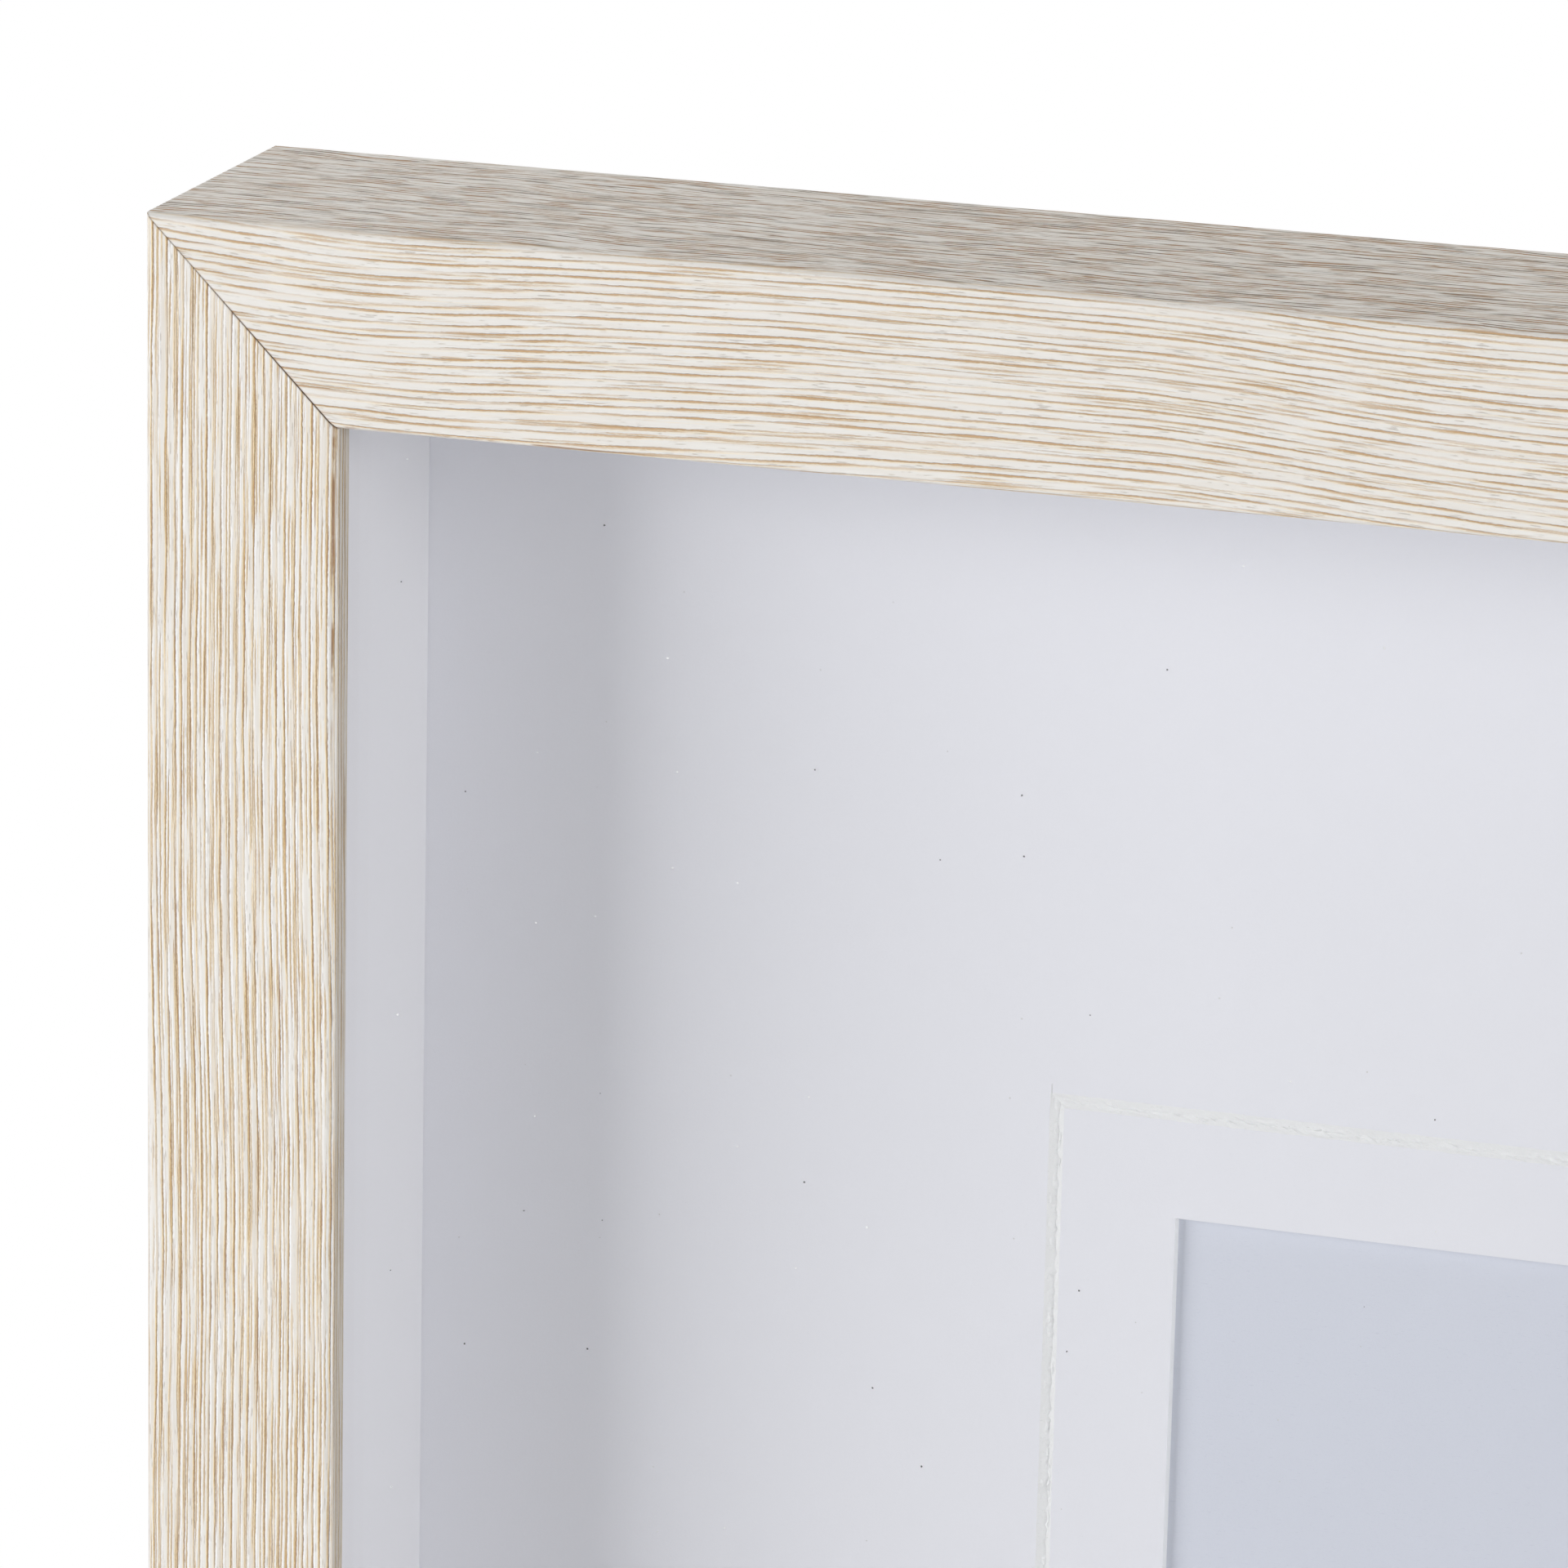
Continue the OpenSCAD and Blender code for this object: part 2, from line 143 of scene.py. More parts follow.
class Shader:
    """A node tree and the few ways in which the finishes add to it."""

    def __init__(self, owner: Union[bpy.types.Material, bpy.types.World]) -> None:
        """Starts an empty tree on a material or the world."""
        self.owner = owner
        owner.use_nodes = True
        self.tree = owner.node_tree
        self.tree.nodes.clear()

    def node(self, kind: str, settings: dict[str, Any], sockets: dict[Any, Any]) -> bpy.types.Node:
        """Adds a node.

        Args:
            kind: The node's type, without its ShaderNode prefix.
            settings: Properties of the node, set before its sockets.
            sockets: Values or links, by the socket's name or place.

        Returns:
            The new node.
        """
        made = self.tree.nodes.new("ShaderNode" + kind)
        for name, value in settings.items():
            setattr(made, name, value)
        for key, value in sockets.items():
            socket = made.inputs[key]
            source = value.socket if isinstance(value, Value) else value
            if isinstance(source, bpy.types.NodeSocket):
                self.tree.links.new(source, socket)
            else:
                socket.default_value = source
        return made

    def colour(self, paint: Colour) -> Any:
        """Gives a written colour as the shader wants it, and leaves a socket as it is."""
        return linear(paint) if isinstance(paint, tuple) else paint

    def mix(self, share: Number, base: Colour, top: Colour) -> bpy.types.NodeSocket:
        """Blends from one colour to another.

        Args:
            share: 0 for the base and 1 for the top.
            base: A written colour or a colour socket.
            top: The colour laid over it.

        Returns:
            The blended colour's socket.
        """
        sockets = {0: share, 6: self.colour(base), 7: self.colour(top)}
        settings = {"data_type": "RGBA", "clamp_factor": True}
        return self.node("Mix", settings, sockets).outputs[2]

    def attribute(self, name: str) -> tuple[Value, Value, Value]:
        """The three numbers that a mesh stores under the name."""
        found = self.node("Attribute", {"attribute_name": name}, {})
        return self.split(found.outputs["Vector"])

    def place(self) -> tuple[Value, Value, Value]:
        """The point on the object, in millimetres."""
        found = self.node("TexCoord", {}, {}).outputs["Object"]
        scaled = self.node("VectorMath", {"operation": "SCALE"}, {0: found, "Scale": 1 / MM})
        return self.split(scaled.outputs[0])

    def split(self, vector: bpy.types.NodeSocket) -> tuple[Value, Value, Value]:
        """The three parts of a vector."""
        made = self.node("SeparateXYZ", {}, {0: vector})
        return (Value(self, made.outputs[0]), Value(self, made.outputs[1]), Value(self, made.outputs[2]))

    def join(self, x: Number, y: Number, z: Number) -> bpy.types.NodeSocket:
        """A vector from its three parts."""
        return self.node("CombineXYZ", {}, {0: x, 1: y, 2: z}).outputs[0]

    def noise(self, x: Number, y: Number, z: Number, detail: float = 2.0) -> Value:
        """Cloudy noise from 0 to 1, about one cloud to each unit of its place."""
        sockets = {"Vector": self.join(x, y, z), "Scale": 1.0, "Detail": detail}
        return Value(self, self.node("TexNoise", {}, sockets).outputs[0])

    def chance(self, number: Value) -> Value:
        """A random number from 0 to 1 for each whole number."""
        made = self.node("TexWhiteNoise", {"noise_dimensions": "1D"}, {"W": number})
        return Value(self, made.outputs[0])

    def bump(self, height: Value, depth: float) -> bpy.types.NodeSocket:
        """The normal of a surface whose relief is height times depth, in metres."""
        return self.node("Bump", {}, {"Height": height, "Distance": depth}).outputs[0]

    def finish(self, surface: bpy.types.Node) -> bpy.types.Material:
        """Joins the surface to the output and hands the material back."""
        self.node("OutputMaterial", {}, {"Surface": surface.outputs[0]})
        return self.owner


def new_shader(name: str) -> Shader:
    """Starts a material of the given name."""
    return Shader(bpy.data.materials.new(name))


# ---- Finishes ----


@dataclass(frozen=True)
class GrainRows:
    """Printed grain lines, their dark sides, the valleys along them and the bands beside them. The key lamp
    sets their sides: a line's dark side is painted shade, the band on its lamp side is a print tint painted
    as a highlight, and the band past its far side is a painted highlight.
    """

    line: Value
    dark: Value
    valley: Value
    lit: Value
    ridge_highlight: Value

    def joined(self, strength: Value, other: "GrainRows", share: Value) -> "GrainRows":
        """These lines and the other ones, each at its own strength."""
        return GrainRows(
            (self.line * strength).most(other.line * share),
            self.dark,
            (self.valley * strength).most(other.valley * share),
            (self.lit * strength).most(other.lit * share),
            (self.ridge_highlight * strength).most(other.ridge_highlight * share),
        )


@dataclass(frozen=True)
class GrainFoil:
    """Whitewashed wood-grain foil, printed and embossed, with painted highlights and painted shade beside
    its lines and painted shade on the lip's inner face. Lengths are in millimetres.
    """

    white: Rgb = (236, 233, 228)
    shade: Rgb = (225, 217, 206)
    tan: Rgb = (196, 152, 98)
    umber_ink_shade: Rgb = (134, 106, 88)
    cream_print_highlight: Rgb = (250, 228, 184)
    ridge_highlight: Rgb = (254, 254, 255)
    dash: Rgb = (190, 177, 162)
    grey: Rgb = (126, 110, 90)
    fleck: Rgb = (160, 125, 86)
    cut: Rgb = (104, 68, 36)
    worn: Rgb = (158, 108, 60)
    shadow: Rgb = (140, 130, 116)
    pitch: float = 1.02
    line_half: float = 0.067
    fine_pitch: float = 0.53
    fine_half: float = 0.05
    dash_pitch: float = 0.21
    rail_drift: float = 13.0
    stile_drift: float = 3.0
    broad_strokes: tuple[float, float] = (0.92, 8.0)
    narrow_strokes: tuple[float, float] = (0.47, 6.0)
    arch_run: float = 96.0
    arch_rise: float = 3.4
    band_gap: float = 5.5
    worn_reach: tuple[float, float] = (24.0, 44.0)
    joint_reach: tuple[float, float] = (0.05, 0.32)
    emboss: float = 0.16 * MM
    roughness: float = 0.62
    shine: float = 0.14

    def upright(self, member: Value) -> Value:
        """1 on the stiles and 0 on the rails, from the member's own number."""
        return member.rise(1.4, 1.6)

    def bent(self, s: Shader, place: tuple[Value, Value, Value], seed: float) -> Value:
        """How far across the foil a point is, once the grain's bends are taken out of it."""
        along, across, member = place
        reach = self.rail_drift - self.upright(member) * (self.rail_drift - self.stile_drift)
        drift = s.noise(along / 105, across / 60, member * 3.7 + 5.9, 1.0) * reach
        sway = s.noise(along / 11, across / 3, member * 5.3 + seed, 1.0) * 0.38
        kink = s.noise(along / 1.1, across / 0.5, member * 2.3 + seed, 1.0) * 0.11
        return across - drift + sway + kink

    def rows(self, s: Shader, place: tuple[Value, Value, Value], pitch: float, width: float) -> "GrainRows":
        """One family of near-parallel grain lines.

        Args:
            s: The foil's shader.
            place: Along the grain, across it and the member's own number.
            pitch: Mean distance between lines.
            width: Half a line's usual width.

        Returns:
            The lines, 1 inside each, with their dark sides (painted shade), valleys and bands (painted
            highlights), put on the sides that the key lamp sets.
        """
        along, across, member = place
        upright = self.upright(member)
        phase = self.bent(s, place, pitch) / pitch
        row = phase.floor()
        jitter = (s.chance(row + member * 57) - 0.5) * 0.36
        off = (phase - row - 0.5 - jitter) * pitch
        swell = s.noise(along / 6.5, row * 3.7, member * 2.9 + pitch, 4.0).rise(0.32, 0.78)
        ragged = (s.noise(along / 0.5, across / 0.12, member, 2.0) - 0.5) * 0.13
        reach = (swell * 1.1 + 0.65) * width * (1.35 - upright * 0.35) + ragged
        # Positive on the side of each line that faces the key lamp: this sets the painted shade on the
        # line's far half and the painted highlights in the bands on both sides.
        toward_key = off * (1 - upright * 2)
        lit = (toward_key - reach).fall(0.10, 0.26) * (toward_key - reach).rise(-0.10, -0.02)
        ridge_highlight = (toward_key + reach).fall(-0.04, 0.02) * (toward_key + reach).rise(-0.34, -0.14)
        edge = abs(off) - reach
        dark = toward_key.fall(-0.05, 0.05) * edge.fall(0.0, 0.1)
        return GrainRows(edge.fall(-0.03, 0.035), dark, edge.fall(-0.05, 0.10), lit, ridge_highlight)

    def dashes(self, s: Shader, place: tuple[Value, Value, Value]) -> Value:
        """Short thin strokes that lie along the grain between its lines."""
        along, across, member = place
        bent = self.bent(s, place, 4.4) / self.dash_pitch
        row = bent.floor()
        stroke = abs(bent - row - 0.5).fall(0.16, 0.40)
        run = s.noise(along / 2.4, row * 7.7, member + 6.2, 2.0).rise(0.57, 0.69)
        patch = s.noise(along / 9, across / 1.6, member + 2.2, 2.0).rise(0.36, 0.56) * 0.7 + 0.3
        return stroke * run * patch

    def front_lines(self, s: Shader, place: tuple[Value, Value, Value]) -> "GrainRows":
        """The grain of the front and lip: strong lines with fine lines between them."""
        along, across, member = place
        upright = self.upright(member)
        strength = s.noise(along / 26, across / 0.9, member + 9.1, 3.0).rise(0.36, 0.58) * 0.75 + 0.25
        faint = s.noise(along / 14, across / 0.7, member + 4.4, 3.0) + upright * 0.08
        strong = self.rows(s, place, self.pitch, self.line_half)
        fine = self.rows(s, place, self.fine_pitch, self.fine_half)
        return strong.joined(strength, fine, faint.rise(0.52, 0.66) * 0.7)

    def strokes(self, s: Shader, place: tuple[Value, Value, Value], pitch: float, run: float) -> Value:
        """Rows of broad strokes with gaps between them.

        Args:
            s: The foil's shader.
            place: Along the grain, across it and the member's own number.
            pitch: Mean distance between rows.
            run: Usual length of a stroke.

        Returns:
            1 inside a stroke.
        """
        along, across, member = place
        sway = s.noise(along / 24, across / 12, member + 1.4, 1.0) * 4.5
        phase = (across + sway + s.noise(along / 4.5, across / 1.2, member + pitch, 2.0) * 0.45) / pitch
        row = phase.floor()
        off = abs(phase - row - 0.5 - (s.chance(row + member * 31) - 0.5) * 0.3) * pitch
        swell = s.noise(along / (run * 0.5), row * 3.1, member + pitch, 3.0)
        ragged = (s.noise(along / 0.8, across / 0.15, member + 8.1, 1.0) - 0.5) * 0.16
        dash = s.noise(along / run + row * 0.61, row * 5.3, member + pitch * 3, 1.0).rise(0.44, 0.56)
        return (off - swell * 0.46 * pitch - ragged + 0.02).fall(-0.06, 0.06) * dash

    def side_flecks(self, s: Shader, place: tuple[Value, Value, Value]) -> tuple[Value, Value]:
        """The grain of the outer sides: short broad strokes, tan in arching bands.

        Args:
            s: The foil's shader.
            place: Along the grain, across it and the member's own number.

        Returns:
            The strokes and how tan they are, from grey to tan.
        """
        along, across, member = place
        sway = s.noise(along / 24, across / 12, member + 1.4, 1.0) * 4.5
        stretch = along / self.arch_run + member * 0.37
        bow = (stretch - stretch.floor() - 0.5) * self.arch_rise
        band = (across + sway) / self.band_gap + bow * bow
        band = abs(band - band.floor() - 0.5).fall(0.10, 0.34)
        broad = self.strokes(s, place, *self.broad_strokes)
        narrow = self.strokes(s, place, *self.narrow_strokes)
        patches = s.noise(along / 6, across / 1.6, member + 3.9, 2.0)
        return broad.most(narrow * 0.75), (patches + band * 0.16).rise(0.45, 0.60)

    def material(self, sight_line: float) -> bpy.types.Material:
        """Builds the foil.

        Args:
            sight_line: Where the inner front edge lies across the foil, from the outer one.

        Returns:
            The material. It reads the mesh's grain and cut attributes.
        """
        s = new_shader("grain_foil")
        along, across, member = place = s.attribute("grain")
        cut, offset, half = s.attribute("cut")
        upright = self.upright(member)
        front = across.rise(-0.9, 0.3)
        side = 1 - front
        lines, dashes = self.front_lines(s, place), self.dashes(s, place)
        flecks, tanned = self.side_flecks(s, place)
        cloud = s.noise(along / 16, across / 0.8, member + 3.3, 3.0).rise(0.35, 0.7)
        # Darker ink on each line's far side from the key lamp: painted shade on a printed line.
        ink = s.mix(lines.dark * (upright * 0.7 + 0.2), self.tan, self.umber_ink_shade)
        colour = s.mix(cloud * (upright * 0.5 + side * 0.3 + 0.3) + side * 0.2, self.white, self.shade)
        # Painted highlight: the near-white band past each line's far side, stronger on the stiles, where
        # the key lamp lights the valley walls.
        colour = s.mix(front * lines.ridge_highlight * (upright * 0.85 + 0.15), colour, self.ridge_highlight)
        colour = s.mix(front * dashes * 0.5, colour, self.dash)
        colour = s.mix(side * flecks, colour, s.mix(tanned, self.grey, self.fleck))
        # Print tint beside each line on its key-lamp side, painted there as a highlight.
        colour = s.mix(front * lines.lit * (upright * 0.55 + 0.45), colour, self.cream_print_highlight)
        colour = s.mix(front * lines.line * (upright * 0.08 + 0.82), colour, ink)
        to_mitre = half - abs(offset)
        rubbed = s.noise(along / 6, member, 0.5, 3.0).rise(0.42, 0.56) * to_mitre.fall(*self.worn_reach)
        edge = abs(across - sight_line).fall(0.06, 0.28)
        colour = s.mix(edge * rubbed * 0.8, colour, self.worn)
        # Painted shade on the lip's inner face, which the lamps light less.
        inside = across.rise(sight_line + 0.5, sight_line + 1.5)
        colour = s.mix(inside * 0.5, colour, self.shadow)
        deeper = (across / sight_line).rise(0.0, 0.9)
        joint = to_mitre.fall(*self.joint_reach) * 0.6
        mark = joint.most(cut.rise(0.05, 0.6)) * (0.35 + deeper * 0.65)
        colour = s.mix(front * mark, colour, self.cut)
        valley = lines.valley * (upright * 0.4 + 0.6)
        sunk = (front * valley).most(front * dashes * 0.3).most(side * flecks * 0.5)
        relief = lines.ridge_highlight * 0.25 - sunk
        sockets = {
            "Base Color": colour,
            "Roughness": self.roughness,
            "Specular IOR Level": self.shine,
            "Normal": s.bump(relief, self.emboss),
        }
        return s.finish(s.node("BsdfPrincipled", {}, sockets))


@dataclass(frozen=True)
class PressedFibre:
    """Raw fibreboard: brown dust and short fibres. Lengths are in millimetres."""

    name: str
    light: Rgb
    dark: Rgb
    fibre: float = 1.6
    roughness: float = 0.86
    relief: float = 0.03 * MM

    def material(self) -> bpy.types.Material:
        """Builds the board."""
        s = new_shader(self.name)
        x, y, z = s.place()
        dust = s.noise(x / 0.5, y / 0.5, z / 0.5, 4.0)
        flat = s.noise(x / self.fibre, y / 0.4, z / 0.25, 3.0)
        upright = s.noise(x / 0.25, y / 0.4, z / self.fibre, 3.0)
        fibres = flat.rise(0.56, 0.72).most(upright.rise(0.56, 0.72))
        cloud = s.noise(x / 18, y / 18, z / 18, 2.0)
        colour = s.mix((dust * 0.8 + cloud * 0.25).rise(0.25, 0.8), self.light, self.dark)
        colour = s.mix(fibres * 0.5, colour, tuple(min(255, c * 1.3) for c in self.light))
        sockets = {
            "Base Color": colour,
            "Roughness": self.roughness,
            "Specular IOR Level": 0.2,
            "Normal": s.bump(dust + fibres * 0.5, self.relief),
        }
        return s.finish(s.node("BsdfPrincipled", {}, sockets))


@dataclass(frozen=True)
class Paper:
    """Paper with a faint tooth and a few fibres. Lengths are in millimetres."""

    name: str
    sheet: Rgb
    fibre: Rgb
    tooth: float = 0.35
    relief: float = 0.012 * MM
    roughness: float = 0.82

    def material(self) -> bpy.types.Material:
        """Builds the paper."""
        s = new_shader(self.name)
        x, y, z = s.place()
        tooth = s.noise(x / self.tooth, y / self.tooth, z / self.tooth, 3.0)
        cloud = s.noise(x / 35, y / 35, z / 35, 2.0)
        fibres = s.noise(x / 0.9, y / 0.3, z / 0.12, 2.0).rise(0.66, 0.74)
        share = (tooth * 0.35 + cloud * 0.25 + fibres * 0.5).rise(0.1, 1.1)
        sockets = {
            "Base Color": s.mix(share, self.sheet, self.fibre),
            "Roughness": self.roughness,
            "Specular IOR Level": 0.3,
            "Normal": s.bump(tooth, self.relief),
        }
        return s.finish(s.node("BsdfPrincipled", {}, sockets))


@dataclass(frozen=True)
class ClearGlass:
    """Float glass: clear, with a gloss at its surface and a few specks. Lengths are in millimetres."""

    tint: Rgb = (255, 255, 255)
    sheen: Rgb = (255, 255, 255)
    lint: Rgb = (250, 250, 250)
    grit: Rgb = (66, 64, 66)
    ior: float = 1.5
    gloss: float = 0.35
    speck_gap: float = 8.5
    outer_face: float = -17.3

    def material(self) -> bpy.types.Material:
        """Builds the glass.

        Returns:
            A see-through surface under a mirror that grows at a slant.
        """
        s = new_shader("clear_glass")
        x, y, z = s.place()
        fresnel = Value(s, s.node("Fresnel", {}, {"IOR": self.ior}).outputs[0])
        gap = self.speck_gap
        drift = s.noise(x / 0.6, y, z / 0.6, 1.0) * 0.03
        vector = s.join(x / gap + drift, z / gap - drift, 0.0)
        cell = s.node("TexVoronoi", {"voronoi_dimensions": "2D"}, {"Vector": vector, "Scale": 1.0})
        there, kind, size = s.split(cell.outputs["Color"])
        reach = Value(s, cell.outputs["Distance"]) - (size * 0.010 + 0.003)
        outside = y.fall(self.outer_face, self.outer_face + 1)
        speck = reach.fall(0.0, 0.005) * there.rise(0.72, 0.74) * outside
        dirt = s.mix(kind.rise(0.36, 0.38), self.grit, self.lint)
        smear = s.noise(x / 60, y, z / 60, 3.0).rise(0.2, 0.9)
        clear = s.node("BsdfTransparent", {}, {"Color": linear(self.tint)})
        sockets = {
            "Base Color": s.mix(speck, self.sheen, dirt),
            "Metallic": 1 - speck,
            "Roughness": smear * 0.06 + 0.03 + speck * 0.6,
        }
        mirror = s.node("BsdfPrincipled", {}, sockets)
        share = (fresnel * self.gloss).most(speck * 0.8)
        sockets = {0: share, 1: clear.outputs[0], 2: mirror.outputs[0]}
        return s.finish(s.node("MixShader", {}, sockets))


@dataclass(frozen=True)
class PlatedMetal:
    """Plated sheet steel or wire with brushed streaks and dull spots. Lengths are in millimetres."""

    name: str
    bright: Rgb
    dull: Rgb
    roughness: float = 0.34
    streak: float = 3.0
    spot: float = 6.0
    relief: float = 0.006 * MM

    def material(self) -> bpy.types.Material:
        """Builds the plating."""
        s = new_shader(self.name)
        x, y, z = s.place()
        streaks = s.noise(x / self.streak, y / 0.2, z / 0.09, 3.0)
        spots = s.noise(x / self.spot, y / self.spot, z / self.spot, 5.0).rise(0.35, 0.85)
        sockets = {
            "Base Color": s.mix(spots * 0.5 + streaks * 0.35, self.bright, self.dull),
            "Metallic": 1.0,
            "Roughness": streaks * 0.12 + spots * 0.16 + self.roughness,
            "Normal": s.bump(streaks, self.relief),
        }
        return s.finish(s.node("BsdfPrincipled", {}, sockets))


@dataclass(frozen=True)
class SoftRubber:
    """Moulded rubber with a dusty bloom. Lengths are in millimetres."""

    name: str = "bumper_rubber"
    dark: Rgb = (52, 52, 54)
    bloom: Rgb = (82, 81, 80)
    grain: float = 1.8
    relief: float = 0.02 * MM
    roughness: float = 0.62

    def material(self) -> bpy.types.Material:
        """Builds the rubber."""
        s = new_shader(self.name)
        x, y, z = s.place()
        bloom = s.noise(x / self.grain, y / self.grain, z / self.grain, 4.0)
        sockets = {
            "Base Color": s.mix(bloom.rise(0.35, 0.75), self.dark, self.bloom),
            "Roughness": bloom * 0.2 + self.roughness,
            "Normal": s.bump(bloom, self.relief),
        }
        return s.finish(s.node("BsdfPrincipled", {}, sockets))


RAW_EDGE = PressedFibre("raw_fibreboard", (176, 142, 104), (140, 106, 72))
HARDBOARD = PressedFibre("back_hardboard", (138, 100, 66), (104, 72, 45), fibre=2.4)
MAT_PAPER = Paper("mat_paper", (243, 244, 250), (237, 238, 244))
MAT_CORE = Paper("mat_core", (249, 250, 251), (226, 228, 226), tooth=0.16, relief=0.06 * MM)
INSERT_PAPER = Paper("insert_paper", (222, 226, 237), (212, 216, 229))
STRIP_PAPER = Paper("spacer_paper", (239, 239, 242), (232, 232, 235), tooth=0.22)
ZINC = PlatedMetal("zinc_plate", (206, 208, 211), (150, 153, 158))
STEEL = PlatedMetal("nail_steel", (186, 188, 192), (120, 120, 122), roughness=0.42)
BRASSED = PlatedMetal("brass_plate", (214, 190, 136), (170, 144, 96), roughness=0.36)


# ---- Meshes ----


class Slot(Enum):
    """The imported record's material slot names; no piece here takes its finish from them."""

    MOULDING = "moulding"
    MAT = "mat"


def lay_down(piece: bpy.types.Object, body: str, node: str) -> None:
    """Makes a new piece ride on its body and stand for its CAD node, and reports it.

    Args:
        piece: The finished piece, in its place.
        body: The CAD body that it moves with.
        node: The CAD node that it stands for.
    """
    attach(piece, body)
    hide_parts(node)
    LOG.info("%s stands for %s on %s", piece.name, node, body)


def dress(node: str, material: bpy.types.Material) -> bpy.types.Object:
    """Gives a CAD node its finish, reports it and hands the node's object back."""
    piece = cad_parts[node]
    piece.data.materials.clear()
    piece.data.materials.append(material)
    LOG.info("%s dressed in %s", node, material.name)
    return piece


def ease_edges(piece: bpy.types.Object, width: float, corner: float = 0.5) -> None:
    """Rounds a CAD node's hard edges.

    Args:
        piece: The node's object.
        width: How much the rounding takes from each side of an edge, in metres.
        corner: Edges that turn by less than this many radians stay as they are.
    """
    weld = piece.modifiers.new("weld", "WELD")
    weld.merge_threshold = WELD
    bevel = piece.modifiers.new("eased", "BEVEL")
    bevel.width = width
    bevel.segments = 2
    bevel.limit_method = "ANGLE"
    bevel.angle_limit = corner
    piece.modifiers.new("even", "WEIGHTED_NORMAL").keep_sharp = True


def mesh_piece(
    name: str, shape: bmesh.types.BMesh, materials: Iterable[bpy.types.Material]
) -> bpy.types.Object:
    """Turns a finished shape into an object of the scene.

    Args:
        name: The piece's name.
        shape: The shape, which is freed.
        materials: The finishes, in the order of the faces' material numbers.

    Returns:
        The new object.
    """
    data = bpy.data.meshes.new(name)
    shape.to_mesh(data)
    shape.free()
    for material in materials:
        data.materials.append(material)
    piece = bpy.data.objects.new(name, data)
    bpy.context.scene.collection.objects.link(piece)
    return piece


def cut_out(piece: bpy.types.Object, tool: bpy.types.Object) -> None:
    """Takes one solid out of another.

    Args:
        piece: The piece that is cut. Its new faces take the tool's finish.
        tool: The solid that is taken out and then removed.
    """
    cut = piece.modifiers.new("cut", "BOOLEAN")
    cut.operation = "DIFFERENCE"
    cut.solver = "EXACT"
    cut.use_self = True
    cut.material_mode = "TRANSFER"
    cut.object = tool
    bpy.context.view_layer.update()
    graph = bpy.context.evaluated_depsgraph_get()
    whole = piece.data
    piece.data = bpy.data.meshes.new_from_object(piece.evaluated_get(graph))
    piece.data.name = piece.name
    piece.modifiers.clear()
    bpy.data.meshes.remove(whole)
    bpy.data.objects.remove(tool)


def even_shading(piece: bpy.types.Object, corner: float = 0.6) -> None:
    """Shades rounded stretches smooth and keeps corners sharper than the given angle."""
    for face in piece.data.polygons:
        face.use_smooth = True
    piece.data.set_sharp_from_angle(angle=corner)
    piece.modifiers.new("even", "WEIGHTED_NORMAL").keep_sharp = True


def arc(centre: Sequence[float], radius: float, start: float, turn: float, steps: int) -> list[Vector]:
    """Points along an arc in a flat drawing.

    Args:
        centre: Middle of the arc.
        radius: Radius of the arc.
        start: Angle of the first point, in degrees.
        turn: How far the arc turns, in degrees.
        steps: Number of chords.

    Returns:
        The points, with both ends.
    """
    angles = [math.radians(start + turn * i / steps) for i in range(steps + 1)]
    return [Vector(centre) + radius * Vector((math.cos(a), math.sin(a))) for a in angles]


def placed(*columns: Sequence[float]) -> Matrix:
    """The matrix whose columns are three axes and an origin."""
    matrix = Matrix.Identity(4)
    for number, column in enumerate(columns):
        matrix.col[number].xyz = column
    return matrix


# ---- Sub-assemblies ----


@dataclass(frozen=True)
class Measures:
    """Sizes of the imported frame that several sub-assemblies share, in metres."""

    outer_w: float
    outer_h: float
    front: float
    back: float
    face_w: float
    rim_w: float
    lip_t: float

    @classmethod
    def of_frame(cls) -> "Measures":
        """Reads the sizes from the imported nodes' boxes."""
        low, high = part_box("top_rail")
        strip_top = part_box("spacer_top")[1].z
        return cls(
            outer_w=high.x - low.x,
            outer_h=high.z,
            front=low.y,
            back=high.y,
            face_w=high.z - low.z,
            rim_w=high.z - strip_top,
            lip_t=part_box("glazing")[0].y - low.y,
        )

    @property
    def depth(self) -> float:
        """Depth of the mouldings from front to back."""
        return self.back - self.front


class Side(Enum):
    """The four sides of the frame."""

    TOP = "top_rail"
    BOTTOM = "bottom_rail"
    LEFT = "left_stile"
    RIGHT = "right_stile"

    def placing(self, m: Measures) -> Matrix:
        """Carries a side drawn along X, with Y from its outside inwards and Z from front to back."""
        middle = m.outer_h / 2
        along, inwards, origin = {
            Side.TOP: ((1, 0, 0), (0, 0, -1), (0, m.front, m.outer_h)),
            Side.BOTTOM: ((1, 0, 0), (0, 0, 1), (0, m.front, 0)),
            Side.LEFT: ((0, 0, -1), (1, 0, 0), (-m.outer_w / 2, m.front, middle)),
            Side.RIGHT: ((0, 0, -1), (-1, 0, 0), (m.outer_w / 2, m.front, middle)),
        }[self]
        return placed(along, inwards, (0, 1, 0), origin)

    def length(self, m: Measures) -> float:
        """Length of the side at its outside."""
        return m.outer_w if self in (Side.TOP, Side.BOTTOM) else m.outer_h


